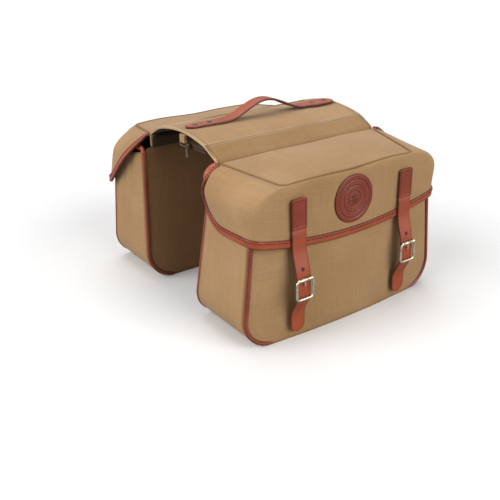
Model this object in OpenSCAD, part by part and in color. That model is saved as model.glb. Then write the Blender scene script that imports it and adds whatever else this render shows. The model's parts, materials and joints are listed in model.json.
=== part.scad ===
// Saddle bag: two canvas side bags joined by a bridge that lies over a bicycle's rear rack.
// X runs along the bicycle, +Y to its left side, +Z up. The bags stand on Z = 0.
// The right bag lies at -Y. The left bag is the same bag turned half a turn about Z.

/* [Bags] */
// Width across both bag bodies
overall_w = 440; // [420:1:460]
// Length of a bag body at its widest, near the base
bag_l = 372; // [360:1:376]
// Length of a bag body at its mouth
mouth_l = 332; // [320:1:340]
// Height of the mouth of a bag body
mouth_z = 236; // [230:1:240]
// Radius of the bottom corners of a bag body
corner_r = 46; // [30:1:60]
// Distance from the middle to a bag's back, at the base
back_low = 76; // [70:1:84]
// Distance from the middle to a bag's back, at the mouth
back_top = 105; // [104:1:110]
// How far the middle of the front panel stands proud of its ends
front_bulge = 11; // [9:1:12]
// Thickness of the lined canvas
canvas_t = 3; // [2:0.5:4]

/* [Flap] */
// Length of the flap over its side walls
flap_l = 358; // [356:1:364]
// Gap from the front panel to the flap's inner face
flap_gap = 1.5; // [1:0.5:3]
// Height of the lid at its back edge
lid_back_z = 250; // [248:1:252]
// Height of the lid at its front seam
lid_front_z = 240; // [238:1:244]
// Height of the middle line of the edge binding, at the flap's centre
binding_mid_z = 146; // [140:1:155]
// How much higher that line is at the flap's ends
binding_rise = 24; // [20:1:30]
// Width of the leather edge binding
binding_w = 12; // [10:1:14]

/* [Straps] */
// Distance from the middle of the bag to each strap
strap_x = 102; // [90:1:110]
// Width of a strap
strap_w = 25; // [22:1:28]
// Thickness of the strap leather
strap_t = 2.5; // [2:0.5:3]
// Height of the stitch line from which a strap hangs
strap_top_z = 176; // [170:1:182]
// Height of the rounded end of a strap
strap_tip_z = 13; // [10:1:25]

/* [Bridge and handle] */
// Length of the bridge along the rack
bridge_l = 304; // [290:1:320]
// Height of the top of the bridge
bridge_z = 277; // [272:1:282]
// Radius of the leather medallion
medallion_r = 36; // [32:1:38]
// How far the handle arches above the bridge
handle_rise = 20; // [15:1:26]
// Distance from the middle to where the handle leaves the bridge
handle_foot = 78; // [70:1:84]

/* [Hidden] */
$fn = 48;
SIDES = ["right", "left"];

canvas_tone = [0.73, 0.58, 0.42];
leather_tone = [0.70, 0.30, 0.20];
board_tone = [0.12, 0.11, 0.10];
nickel_tone = [0.80, 0.78, 0.72];
tape_tone = [0.93, 0.85, 0.72];

// Body
half_l = bag_l / 2;
half_mouth = mouth_l / 2;
front_y = -overall_w / 2;
front_radius = (half_l * half_l + front_bulge * front_bulge) / (2 * front_bulge);
back_lean = atan((back_top - back_low) / mouth_z);
board_t = 2.5;
piping_r = 3.5;
front_top_z = 200;
side_top_z = 222;
back_shoulder_z = 226;
back_panel_top = mouth_z + 9;
far = 400;

// Flap
flap_x = flap_l / 2;
flap_front = front_y - flap_gap - canvas_t;
flap_corner = 20;
flap_back = -113;
binding_back_y = flap_back + binding_w / 2;
side_low_z = binding_mid_z + binding_rise;
side_mid_z = side_low_z - 2;
side_curve_y = 45;
side_curve_z = 48;
lid_back_y = -108;
lid_front_y = -218;
lid_back_x = 148;
lid_front_x = 122;
shoulder_z = 205;
high_shoulder_z = 230;
high_shoulder_inset = 8;
front_shoulder_z = 232;
medallion_z = 196;
binding_t = 5;

// Straps and buckles
strap_face = flap_front - 1.6;
strap_out = 10;
strap_in = -3.2;
buckle_high_z = 104;
buckle_low_z = 70;
buckle_w = 33;
wire_r = 1.6;
sleeve_r = 2.6;
wire_y = strap_face - strap_out - strap_t - sleeve_r - 0.3;
prong_hole_z = 94.6;
spare_hole_z = 118;
snap_z = 40;
stud_r = 2.8;
socket_play = 1.4;
tab_l = 41;

// Bridge
bridge_half = 100;
seam_y = 71;
seam_drop = 10;
shoulder_y_z = 252;
leg_z = 228;
handle_t = 3.5;
handle_w = 25;
handle_end = 145;
handle_x = 5;
rivet_spots = [103, 130];
play = 0.3;
zip_z = 258;
pull_l = 18;
zip_x = -bridge_l / 2;

// ---- helpers ----

// Half the length of a bag at a height z on its straight sides.
function half_length(z) = half_mouth + (half_l - half_mouth) * (mouth_z - z) / (mouth_z - corner_r);

// Outline of a bag seen from the front, pulled in by inset all round.
function bag_outline(inset, top) = concat(
    [[-half_length(top) + inset, top]],
    [for (a = [180 : 10 : 270])
        [-half_l + corner_r + (corner_r - inset) * cos(a), corner_r + (corner_r - inset) * sin(a)]],
    [for (x = [-110 : 22 : 110]) [x, inset]],
    [for (a = [270 : 10 : 360])
        [half_l - corner_r + (corner_r - inset) * cos(a), corner_r + (corner_r - inset) * sin(a)]],
    [[half_length(top) - inset, top]]
);

// Outer face of the front panel at a distance x from the middle.
function front_face(x) = front_y + front_radius - sqrt(front_radius * front_radius - x * x);

// Outer face of the back panel at a height z.
function back_face(z) = -back_low - (back_top - back_low) * z / mouth_z;

// Prism that stands on a bag's outline and runs across its depth.
module outline_prism(inset, top) {
    rotate([90, 0, 0])
        linear_extrude(height = far)
            polygon(bag_outline(inset, top));
}

// Everything behind the back panel's plane, moved inwards by depth.
module behind_back(depth) {
    translate([0, -back_low, 0])
        rotate([back_lean, 0, 0])
            translate([-far, -depth, -far / 2])
                cube([2 * far, far, 2 * far]);
}

// A tall round drum whose near wall is the front panel's face, made smaller by depth.
module front_drum(depth) {
    translate([0, front_y + front_radius, -10])
        cylinder(r = front_radius - depth, h = far, $fn = 360);
}

// Tube, or strip, of a given section along a path. Each row of the path holds a point and
// the outward direction there, and the section's first number runs along that direction.
module sweep(points, outward, section) {
    n = len(points);
    m = len(section);
    rings = [for (i = [0 : n - 1])
        let (t = points[min(i + 1, n - 1)] - points[max(i - 1, 0)],
             side = cross(t, outward[i]) / norm(cross(t, outward[i])))
        [for (p = section) points[i] + p[0] * outward[i] + p[1] * side]];
    faces = concat(
        [[for (j = [0 : m - 1]) j]],
        [for (i = [0 : n - 2], j = [0 : m - 1])
            [i * m + j, (i + 1) * m + j, (i + 1) * m + (j + 1) % m]],
        [for (i = [0 : n - 2], j = [0 : m - 1])
            [i * m + j, (i + 1) * m + (j + 1) % m, i * m + (j + 1) % m]],
        [[for (j = [m - 1 : -1 : 0]) (n - 1) * m + j]]
    );
    polyhedron(points = [for (r = rings, p = r) p], faces = faces, convexity = 6);
}

function round_section(r, sides) = [for (j = [0 : sides - 1])
    [r * cos(-360 * j / sides), r * sin(-360 * j / sides)]];

function flat_section(t, w) = [[t / 2, w / 2], [t / 2, -w / 2], [-t / 2, -w / 2], [-t / 2, w / 2]];

function smooth_step(u) = let (v = min(1, max(0, u))) v * v * (3 - 2 * v);

// ---- bag body ----

module front_panel() {
    color(canvas_tone)
        intersection() {
            outline_prism(0, front_top_z);
            difference() {
                front_drum(0);
                front_drum(canvas_t);
            }
            translate([-far, -far, 0])
                cube([2 * far, far - back_top, far]);
        }
}

// Its middle rises between the flap's ends to the seam that the lid hangs from.
module back_panel() {
    color(canvas_tone)
        intersection() {
            union() {
                outline_prism(0, back_shoulder_z);
                translate([-lid_back_x + 4, -far, mouth_z / 2])
                    cube([2 * lid_back_x - 8, far, back_panel_top - mouth_z / 2]);
            }
            difference() {
                behind_back(canvas_t);
                behind_back(0);
            }
        }
}

// Side and bottom wall in one band. Its top slopes up from the front to the back.
module gusset() {
    color(canvas_tone)
        difference() {
            intersection() {
                outline_prism(0, side_top_z);
                front_drum(canvas_t);
                rotate([90, 0, 90])
                    translate([0, 0, -far / 2])
                        linear_extrude(height = far)
                            polygon([[-far, 0], [front_y, front_top_z], [-back_top, side_top_z], [0, 0]]);
            }
            outline_prism(canvas_t, side_top_z + 1);
            behind_back(canvas_t);
        }
}

module back_board() {
    color(board_tone)
        intersection() {
            outline_prism(canvas_t + 5, back_shoulder_z);
            difference() {
                behind_back(canvas_t + board_t);
                behind_back(canvas_t);
            }
        }
}

module base_board() {
    deep = abs(front_face(half_l)) - back_low - 2 * canvas_t - 8;
    color(board_tone)
        translate([-half_l + corner_r, -back_low - canvas_t - 5 - deep, canvas_t])
            cube([bag_l - 2 * corner_r, deep, board_t]);
}

module piping(ring) {
    color(leather_tone)
        sweep(ring, [for (p = ring) [0, -1, 0]], round_section(piping_r, 8));
}

module front_piping() {
    piping([for (p = bag_outline(piping_r, front_top_z)) [p[0], front_face(p[0]) + 1, p[1]]]);
}

module back_piping() {
    piping([for (p = bag_outline(piping_r, back_shoulder_z)) [p[0], back_face(p[1]) - 1, p[1]]]);
}

// Leather pieces that bind the two back corners of the mouth.
module corner_patches() {
    color(leather_tone)
        for (end = [-1, 1])
            translate([end * (half_length(side_top_z - 14) + 1.2), -back_top - 18, side_top_z - 16])
                rotate([0, 90, 0])
                    cylinder(r = 11, h = 2.4, center = true);
}

// Press studs riveted through the front panel.
module snap_studs() {
    color(nickel_tone)
        for (end = [-1, 1])
            translate([end * strap_x, front_face(strap_x) + 1, snap_z])
                rotate([90, 0, 0]) {
                    cylinder(r = 6, h = 3);
                    cylinder(r = stud_r, h = abs(strap_back(snap_z)) - abs(front_face(strap_x)) - play);
                }
}

// ---- flap ----

// Flap seen from above, pulled in by inset and open at the back.
function flap_plan(inset) = concat(
    [[-flap_x + inset, -90]],
    [for (a = [180 : 9 : 270])
        [-flap_x + flap_corner + (flap_corner - inset) * cos(a),
         flap_front + flap_corner + (flap_corner - inset) * sin(a)]],
    [for (a = [270 : 9 : 360])
        [flap_x - flap_corner + (flap_corner - inset) * cos(a),
         flap_front + flap_corner + (flap_corner - inset) * sin(a)]],
    [[flap_x - inset, -90]]
);

function lid_height(y) = lid_back_z
    + (lid_front_z - lid_back_z) * (y - lid_back_y) / (lid_front_y - lid_back_y);

// Four-cornered top of the flap, thin, with its upper face at the lid's height less drop.
module lid_slab(drop, thick, back_y) {
    hull() {
        translate([-lid_back_x + drop, back_y, lid_height(lid_back_y) - drop - thick])
            cube([2 * (lid_back_x - drop), 0.1, thick]);
        translate([-lid_front_x + drop, lid_front_y + drop, lid_height(lid_front_y) - drop - thick])
            cube([2 * (lid_front_x - drop), 0.1, thick]);
    }
}

// Closed body whose outer skin is the flap's outer skin, pulled in by inset.
module flap_body(inset, back_y) {
    hull() {
        lid_slab(inset, 1, back_y);
        translate([-lid_front_x + inset, flap_front + inset, front_shoulder_z - inset])
            cube([2 * (lid_front_x - inset), 0.1, 0.1]);
        translate([0, 0, high_shoulder_z - 1])
            linear_extrude(height = 1)
                polygon(flap_plan(high_shoulder_inset + inset));
        translate([0, 0, shoulder_z - 1])
            linear_extrude(height = 1)
                polygon(flap_plan(inset));
    }
    translate([0, 0, 100])
        linear_extrude(height = shoulder_z - 100)
            polygon(flap_plan(inset));
}

module lid_panel() {
    color(canvas_tone)
        lid_slab(0, canvas_t, lid_back_y);
}

// Half the flap's length at a height on its rounded back corners.
function side_x(z) = z <= shoulder_z ? flap_x
    : z <= high_shoulder_z
        ? flap_x - high_shoulder_inset * (z - shoulder_z) / (high_shoulder_z - shoulder_z)
    : lid_back_x + (flap_x - high_shoulder_inset - lid_back_x)
        * (lid_back_z - z) / (lid_back_z - high_shoulder_z);

// Line along which the binding runs, at a distance in from the flap's outer face.
function binding_height(x) = binding_mid_z + binding_rise * x * x / (flap_x * flap_x);
function binding_side(s) = concat(
    [for (z = [lid_back_z - 6, high_shoulder_z, side_mid_z + side_curve_z])
        [s * (side_x(z) - 1.5), binding_back_y, z]],
    [for (a = [15 : 15 : 90])
        [s * (flap_x - 1.5),
         binding_back_y - side_curve_y * (1 - cos(a)),
         side_mid_z + side_curve_z * (1 - sin(a))]]
);
binding_front = [for (p = flap_plan(1.5)) if (p[1] < -100) [p[0], p[1], binding_height(p[0])]];
binding_path = concat(
    binding_side(-1),
    binding_front,
    [for (i = [8 : -1 : 0]) binding_side(1)[i]]
);
function flap_outward(p) = p[1] > flap_front + flap_corner + play ? [sign(p[0]), 0, 0]
    : abs(p[0]) < flap_x - flap_corner ? [0, -1, 0]
    : let (c = [sign(p[0]) * (flap_x - flap_corner), flap_front + flap_corner],
           d = [p[0], p[1]] - c) [d[0], d[1], 0] / norm(d);

module flap_binding() {
    front_run = [for (x = [-140 : 20 : 140]) [x, flap_front + 1.5, binding_height(x)]];
    path = concat(
        [for (p = binding_path) if (p[0] < -145) p],
        front_run,
        [for (p = binding_path) if (p[0] > 145) p]
    );
    color(leather_tone)
        sweep(path, [for (p = path) flap_outward(p)], flat_section(binding_t, binding_w));
}

// What is cut away below the binding's upper edge.
module below_binding() {
    up = binding_w / 2;
    rotate([90, 0, 0])
        linear_extrude(height = far)
            polygon(concat(
                [[-200, 0], [-200, binding_height(flap_x) + up]],
                [for (x = [-flap_x : flap_x / 12 : flap_x]) [x, binding_height(x) + up]],
                [[200, binding_height(flap_x) + up], [200, 0]]
            ));
    translate([-200, 0, 0])
        rotate([90, 0, 90])
            linear_extrude(height = 400)
                polygon(concat(
                    [[-80, 400], [flap_back, 400]],
                    [for (a = [0 : 15 : 90])
                        [flap_back - (side_curve_y - up) * (1 - cos(a)),
                         side_mid_z + side_curve_z - (side_curve_z - up) * sin(a)]],
                    [[flap_front + flap_corner, side_low_z + up], [flap_front + flap_corner, 0], [-80, 0]]
                ));
}

module flap_band() {
    color(canvas_tone)
        difference() {
            flap_body(0, lid_back_y);
            flap_body(canvas_t, lid_back_y + 1);
            lid_slab(-1, canvas_t + 3, lid_back_y + 2);
            below_binding();
        }
}

// Round leather badge with a plain ring pattern.
module medallion() {
    color(leather_tone)
        translate([0, flap_front, medallion_z])
            rotate([90, 0, 0])
                difference() {
                    cylinder(r = medallion_r, h = 3, $fn = 96);
                    for (r = [14, 20, 27, 34])
                        translate([0, 0, 2.4])
                            difference() {
                                cylinder(r = r, h = 1, $fn = 96);
                                cylinder(r = r - 1.2, h = 1, $fn = 96);
                            }
                }
}

// Sewn upper ends of the two front straps.
module strap_tabs() {
    color(leather_tone)
        for (end = [-1, 1])
            translate([end * strap_x - strap_w / 2, flap_front - strap_t, strap_top_z + 2])
                cube([strap_w, strap_t, tab_l]);
}

// ---- straps and buckles ----

// Back face of a strap at a height z: it stands off at the buckle and returns to the bag.
function strap_back(z) = strap_face
    - strap_out * smooth_step((152 - z) / 50)
    - (strap_in - strap_out) * smooth_step((76 - z) / 34);

module strap(x) {
    levels = [for (i = [0 : 32]) strap_tip_z + (strap_top_z - 1 - strap_tip_z) * i / 32];
    color(leather_tone)
        difference() {
            intersection() {
                translate([x - strap_w / 2, 0, 0])
                    rotate([90, 0, 90])
                        linear_extrude(height = strap_w)
                            polygon(concat(
                                [for (z = levels) [strap_back(z), z]],
                                [for (i = [32 : -1 : 0]) [strap_back(levels[i]) - strap_t, levels[i]]]
                            ));
                union() {
                    translate([x, front_y + 10, strap_tip_z + strap_w / 2])
                        rotate([90, 0, 0])
                            cylinder(r = strap_w / 2, h = 40);
                    translate([x - strap_w / 2, front_y - 30, strap_tip_z + strap_w / 2])
                        cube([strap_w, 40, 200]);
                }
            }
            for (z = [prong_hole_z, spare_hole_z])
                translate([x, front_y + 10, z])
                    rotate([90, 0, 0])
                        cylinder(r = 2.6, h = 40);
        }
}

// One quarter of the wire bent round a corner of the frame.
module wire_corner(bend) {
    rotate_extrude(angle = 90)
        translate([bend, 0])
            circle(r = wire_r, $fn = 24);
}

module buckle(x) {
    bend = 4;
    half_w = buckle_w / 2 - wire_r;
    high = buckle_high_z - buckle_low_z - 2 * wire_r;
    color(nickel_tone)
        translate([x, wire_y, buckle_high_z])
            rotate([90, 0, 0]) {
                for (side = [0, 180])
                    rotate([0, side, 0]) {
                        translate([half_w, -bend, 0])
                            rotate([90, 0, 0])
                                cylinder(r = wire_r, h = high - 2 * bend, $fn = 24);
                        translate([half_w - bend, -bend, 0])
                            wire_corner(bend);
                        translate([half_w - bend, -high + bend, 0])
                            rotate([0, 0, -90])
                                wire_corner(bend);
                    }
                translate([-half_w + bend, -high, 0])
                    rotate([0, 90, 0])
                        cylinder(r = wire_r, h = 2 * (half_w - bend), $fn = 24);
                translate([-half_w + bend, 0, 0])
                    rotate([0, 90, 0])
                        cylinder(r = wire_r, h = 2 * (half_w - bend), $fn = 24);
                for (side = [-1, 1])
                    translate([side * 7.1, 0, 0])
                        rotate([0, 90, 0])
                            cylinder(r = sleeve_r, h = 9, center = true);
            }
}

// Tongue that turns on the buckle's top wire and drops through the strap's hole.
module prong(x) {
    tongue = buckle_high_z - prong_hole_z;
    color(nickel_tone)
        translate([x, wire_y, buckle_high_z])
            difference() {
                union() {
                    rotate([0, 90, 0])
                        cylinder(r = sleeve_r, h = 4, center = true);
                    translate([0, 0, -tongue])
                        cylinder(r = 1.2, h = tongue, $fn = 24);
                    translate([0, 0, -tongue])
                        sphere(r = 1.2, $fn = 24);
                    translate([0, 0, -tongue])
                        rotate([-90, 0, 0])
                            cylinder(r = 1.2, h = 4.2, $fn = 24);
                }
                rotate([0, 90, 0])
                    cylinder(r = wire_r + 0.06, h = 20, center = true);
            }
}

// Press-stud socket held to the back of a strap.
module socket(x) {
    color(nickel_tone)
        translate([x, strap_back(snap_z) - 0.5, snap_z])
            rotate([-90, 0, 0])
                difference() {
                    cylinder(r = 6.5, h = 3);
                    translate([0, 0, 0.8])
                        cylinder(r = stud_r + socket_play, h = 20);
                }
}

// ---- bridge ----

function bridge_top(y) = abs(y) <= seam_y
    ? bridge_z - seam_drop * y * y / (seam_y * seam_y)
    : bridge_z - seam_drop
        - (bridge_z - seam_drop - shoulder_y_z) * (abs(y) - seam_y) / (bridge_half - seam_y);

// Arched sheet seen from its end: half is half its width, drop is how far it lies lower.
function arch(half, drop, thick) = concat(
    [for (i = [-12 : 12]) let (y = half * i / 12) [y, bridge_top(y) - drop]],
    [for (i = [12 : -1 : -12]) let (y = half * i / 12) [y, bridge_top(y) - drop - thick]]
);

module along_bridge(length) {
    translate([-length / 2, 0, 0])
        rotate([90, 0, 90])
            linear_extrude(height = length)
                children();
}

module bridge_canvas() {
    color(canvas_tone)
        along_bridge(bridge_l)
            union() {
                polygon(arch(bridge_half, 0, canvas_t));
                for (side = [-1, 1])
                    translate([side * (bridge_half - canvas_t / 2) - canvas_t / 2, leg_z])
                        square([canvas_t, shoulder_y_z - leg_z]);
            }
}

module bridge_board() {
    color(board_tone)
        along_bridge(bridge_l - 24)
            polygon(arch(seam_y - 4, canvas_t + play, board_t));
}

module bridge_edge_tape() {
    color(tape_tone)
        for (end = [-1, 1])
            translate([end * (bridge_l / 2 + 1), 0, 0])
                along_bridge(2)
                    polygon(arch(bridge_half, -0.5, canvas_t + 1));
}

// Two webbing straps with hook-and-loop ends, folded flat under the bridge.
module rack_straps() {
    color(board_tone)
        for (end = [-1, 1])
            translate([end * 95, 0, 0])
                along_bridge(25)
                    polygon(arch(60, canvas_t + board_t + 2 * play, 2));
}

// ---- handle ----

function handle_z(x) = bridge_z + 3 + handle_rise * (0.5 + 0.5 * cos(180 * x / handle_foot));

module handle_ends() {
    color(leather_tone)
        for (end = [-1, 1])
            difference() {
                union() {
                    translate([handle_x + end * (handle_end - handle_w / 2), 0, bridge_z])
                        cylinder(r = handle_w / 2, h = handle_t);
                    translate([handle_x + end * (handle_foot + handle_end - handle_w / 2) / 2, 0,
                               bridge_z + handle_t / 2])
                        cube([handle_end - handle_w / 2 - handle_foot, handle_w, handle_t], center = true);
                }
                for (x = rivet_spots)
                    translate([handle_x + end * x, 0, bridge_z - 1])
                        cylinder(r = 1.5, h = 10);
            }
}

module handle_grip() {
    reach = handle_foot - 8;
    narrow = 7;
    waist = reach - 20;
    stations = [for (i = [-16 : 16]) reach * i / 16];
    color(leather_tone)
        translate([handle_x, 0, 0])
            intersection() {
                translate([0, handle_w / 2, 0])
                    rotate([90, 0, 0])
                        linear_extrude(height = handle_w)
                            polygon(concat(
                                [for (x = stations) [x, handle_z(x)]],
                                [for (x = stations) [-x, handle_z(-x) + handle_t]]
                            ));
                translate([0, 0, bridge_z])
                    linear_extrude(height = 100)
                        polygon([
                            [-reach, -narrow], [-waist, -handle_w / 2],
                            [waist, -handle_w / 2], [reach, -narrow],
                            [reach, narrow], [waist, handle_w / 2],
                            [-waist, handle_w / 2], [-reach, narrow]
                        ]);
            }
}

// Four rivets, two at each end of the handle.
module handle_rivets() {
    color(nickel_tone)
        for (end = [-1, 1], x = rivet_spots)
            translate([handle_x + end * x, 0, bridge_z]) {
                cylinder(r = 1.5, h = handle_t);
                translate([0, 0, handle_t])
                    cylinder(r = 4, h = 1.4);
            }
}

// ---- end of the bridge ----

// Folded canvas tab that holds the ring.
module end_tab() {
    color(tape_tone)
        translate([zip_x - 3.2, -19, bridge_top(19) - 15.5])
            difference() {
                cube([4.6, 14, 12]);
                translate([2.3, -1, 3.2])
                    rotate([-90, 0, 0])
                        cylinder(r = 1.4, h = 20, $fn = 24);
            }
}

// Ring that hangs in the tab.
module end_ring() {
    color(nickel_tone)
        translate([zip_x - 0.9, -12, bridge_top(19) - 12.3]) {
            rotate([90, 0, 0])
                cylinder(r = 1.2, h = 18, center = true, $fn = 24);
            translate([0, 0, -9])
                rotate([90, 0, 0])
                    cylinder(r = 1.2, h = 18, center = true, $fn = 24);
            for (side = [-1, 1])
                translate([0, side * 9, -9])
                    cylinder(r = 1.2, h = 9, $fn = 24);
            for (side = [-1, 1], z = [0, -9])
                translate([0, side * 9, z])
                    sphere(r = 1.2, $fn = 24);
        }
}

// Tape of the flat pocket between the canvas and the board, with its row of teeth.
module zip_tape() {
    color(tape_tone)
        translate([zip_x + 3, -70, zip_z - 4]) {
            cube([1.4, 46, 8]);
            for (i = [0 : 21])
                translate([-1, 1 + 2 * i, 3])
                    cube([1.4, 1, 2]);
        }
}

module zip_slider() {
    color(nickel_tone)
        translate([zip_x - 2.5, -32, zip_z - 4]) {
            cube([4, 8, 8]);
            translate([-2, 2.9, 2])
                cube([2, 2.2, 1.6]);
        }
}

// Flat pull that hangs on the slider's ear.
module zip_pull() {
    color(nickel_tone)
        translate([zip_x - 5.6, -31.2, zip_z + 1.6])
            difference() {
                translate([0, 0, -pull_l])
                    cube([1, 6.4, pull_l]);
                translate([-1, 1.5, -4.4])
                    cube([3, 3.4, 3.4]);
            }
}

// ---- the bag's pieces, drawn by name ----

// Turns a piece of the right bag into the same piece of the bag that is asked for.
module on_side(side) {
    rotate([0, 0, side == "left" ? 180 : 0])
        children();
}

// The strap nearer the front of the bicycle is at +X on both bags.
function strap_place(side, which) = strap_x * (which == "fore" ? 1 : -1) * (side == "left" ? -1 : 1);

for (side = SIDES)
    on_side(side) {
        front_panel();
        gusset();
        back_panel();
        back_board();
        base_board();
        front_piping();
        back_piping();
        corner_patches();
        snap_studs();
        lid_panel();
        flap_band();
        flap_binding();
        medallion();
        strap_tabs();
        for (which = ["rear", "fore"]) {
            strap(strap_place(side, which));
            buckle(strap_place(side, which));
            prong(strap_place(side, which));
            socket(strap_place(side, which));
        }
    }

bridge_canvas();
bridge_board();
bridge_edge_tape();
rack_straps();
handle_ends();
handle_grip();
handle_rivets();
end_tab();
end_ring();
zip_tape();
zip_slider();
zip_pull();
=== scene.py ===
"""Saddle bag: canvas side bags, leather trim and nickel hardware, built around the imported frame."""
import json
import math

import bpy
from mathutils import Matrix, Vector, noise


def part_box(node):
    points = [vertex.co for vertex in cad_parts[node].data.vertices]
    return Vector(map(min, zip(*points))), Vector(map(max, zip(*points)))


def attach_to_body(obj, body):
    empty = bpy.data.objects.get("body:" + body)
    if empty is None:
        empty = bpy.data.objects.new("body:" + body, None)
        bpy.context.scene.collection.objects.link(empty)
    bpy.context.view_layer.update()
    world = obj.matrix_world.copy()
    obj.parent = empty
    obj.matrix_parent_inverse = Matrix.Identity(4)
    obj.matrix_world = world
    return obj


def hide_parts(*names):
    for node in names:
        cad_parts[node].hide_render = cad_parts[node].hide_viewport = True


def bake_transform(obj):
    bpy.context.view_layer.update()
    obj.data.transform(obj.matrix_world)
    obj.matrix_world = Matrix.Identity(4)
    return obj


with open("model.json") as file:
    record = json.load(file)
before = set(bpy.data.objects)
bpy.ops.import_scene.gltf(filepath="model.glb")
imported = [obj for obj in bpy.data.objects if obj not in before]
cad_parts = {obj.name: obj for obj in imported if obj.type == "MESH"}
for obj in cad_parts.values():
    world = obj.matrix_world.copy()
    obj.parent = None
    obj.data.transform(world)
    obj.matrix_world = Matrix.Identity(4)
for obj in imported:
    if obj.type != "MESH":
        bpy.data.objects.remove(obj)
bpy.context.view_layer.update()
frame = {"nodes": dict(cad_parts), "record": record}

MM = 0.001
TAU = 2 * math.pi
SIDES = ("right", "left")


# ---------------------------------------------------------------- sizes
# They come from the frame's boxes where a node has them, and the rest are named here. Bag and flap
# sizes are the right bag's, whose front faces -Y. The left bag is the right one turned round.

def low(node):
    return Vector(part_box(node)[0])


def high(node):
    return Vector(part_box(node)[1])


# Bag body: half its length at the base and at the mouth, its front, back and bottom corners.
HALF_L = high("right_gusset").x
FRONT_Y = low("right_front_panel").y
FRONT_TOP = high("right_front_panel").z
SIDE_TOP = high("right_gusset").z
BACK_LOW_Y = high("right_back_panel").y
BACK_TOP_Z = high("right_back_panel").z
BACK_SHOULDER_Z = high("right_back_board").z
CANVAS_T = 2.4 * MM
CORNER_R = 46 * MM
HALF_MOUTH = 166 * MM
MOUTH_Z = 236 * MM
BACK_TOP_Y = BACK_LOW_Y - 29 * MM
BULGE = 11 * MM
FRONT_RADIUS = (HALF_L ** 2 + BULGE ** 2) / (2 * BULGE)

# Flap: its walls, the lid between its back and front seams, the binding and the curve of its ends.
FLAP_X = high("right_flap_band").x
FLAP_FRONT = low("right_flap_band").y
FLAP_CORNER = 20 * MM
FLAP_BACK = high("right_flap_binding").y - 6 * MM
LID_BACK_X = high("right_lid_panel").x
LID_BACK_Y = high("right_lid_panel").y
LID_BACK_Z = high("right_lid_panel").z
LID_FRONT_X = 122 * MM
LID_FRONT_Y = low("right_lid_panel").y
LID_FRONT_Z = LID_BACK_Z - 10 * MM
BINDING_LOW = low("right_flap_binding").z + 6 * MM
BINDING_RISE = 24 * MM
BINDING_W = 12 * MM
SIDE_LOW_Z = BINDING_LOW + BINDING_RISE - 2 * MM
SIDE_CURVE_Y = 45 * MM
SIDE_CURVE_Z = 48 * MM
UNDER_FLAP_Z = 165 * MM
SHOULDER_SIDE_Z = 205 * MM
SHOULDER_FRONT_Z = 228 * MM

# Straps and badge. A strap stands off by STRAP_OUT at its buckle and ends STRAP_IN behind its start.
STRAP_X = (low("right_fore_strap").x + high("right_fore_strap").x) / 2
STRAP_W = high("right_fore_strap").x - low("right_fore_strap").x
STRAP_TOP = high("right_fore_strap").z
STRAP_TIP = low("right_fore_strap").z
STRAP_FACE = FLAP_FRONT - 1.6 * MM
STRAP_T = 2.5 * MM
SNAP_Z = (low("right_fore_socket").z + high("right_fore_socket").z) / 2
STRAP_OUT = 10 * MM
STRAP_IN = 3.2 * MM
SPARE_HOLE_Z = 118 * MM
TAB_TOP = high("right_strap_tabs").z
MEDALLION = (low("right_medallion") + high("right_medallion")) / 2
MEDALLION_R = (high("right_medallion").x - low("right_medallion").x) / 2

# Bridge and handle: the top cloth ends at the seams and the skirts fall from there.
BRIDGE_X = high("bridge_canvas").x
BRIDGE_Y = high("bridge_canvas").y
BRIDGE_TOP = high("bridge_canvas").z
LEG_Z = low("bridge_canvas").z
SEAM_Y = 71 * MM
SEAM_Z = BRIDGE_TOP - 10 * MM
SHOULDER_Z = 252 * MM
HANDLE_X = (low("handle_grip").x + high("handle_grip").x) / 2
HANDLE_END = high("handle_ends").x - HANDLE_X
HANDLE_FOOT = 78 * MM
HANDLE_RISE = 20 * MM
HANDLE_W = high("handle_grip").y * 2
HANDLE_T = 3.5 * MM
HANDLE_WAIST = 0.94
PAD_WIDTHS = {"rear": 0.86, "fore": 1.36}

# Points inside a bag and inside its flap. They tell a cloth's two faces apart.
BAG_INSIDE = (0, -150 * MM, 120 * MM)
FLAP_INSIDE = (0, -150 * MM, 100 * MM)

# Corner cap's bend, in mm from the back panel's top line and the bag's shoulder: (back, up).
CAP_BEND = ((0.5, -22), (-0.5, -14), (-1.5, -6), (-3.5, -0.5), (-8, 1.5), (-14, 0.5), (-21, -1.5))
# Lid's tuck behind its back seam, in mm from the seam: (back, up).
LID_TUCK = ((3.4, -17), (3.8, -9), (3.2, -2.6), (1.2, -1.0))
# Bridge skirt's fall, in mm from the bridge's edge and its shoulder height: (out, up).
SKIRT_FALL = ((-29, 16), (-20, 12), (-10, 6), (-2, 1.5), (1.5, -1.5), (3, -6), (2.6, -12), (1.8, -18))
# Rings pressed into the badge: (place as a share of the radius, half width, height in mm).
PRESSED_RINGS = ((0.80, 0.020, -0.8), (0.68, 0.014, -0.5), (0.56, 0.020, -0.7), (0.44, 0.014, -0.5),
                 (0.32, 0.020, -0.7), (0.86, 0.018, 0.35), (0.50, 0.018, 0.3))


# ---------------------------------------------------------------- shader groups

def new_group(name, inputs, outputs):
    """Node group with named sockets. Each entry is (name, socket type, default or None)."""
    tree = bpy.data.node_groups.new(name, "ShaderNodeTree")
    for direction, sockets in (("INPUT", inputs), ("OUTPUT", outputs)):
        for label, kind, default in sockets:
            socket = tree.interface.new_socket(label, in_out=direction, socket_type=kind)
            if default is not None:
                socket.default_value = default
    return tree, tree.nodes.new("NodeGroupInput"), tree.nodes.new("NodeGroupOutput")


def wire(tree, source, target):
    tree.links.new(source, target)


def math_node(tree, operation, a, b=None, clamp=False):
    node = tree.nodes.new("ShaderNodeMath")
    node.operation = operation
    node.use_clamp = clamp
    for socket, value in zip(node.inputs, (a, b)):
        if value is None:
            continue
        if isinstance(value, (int, float)):
            socket.default_value = value
        else:
            wire(tree, value, socket)
    return node.outputs[0]


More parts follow.
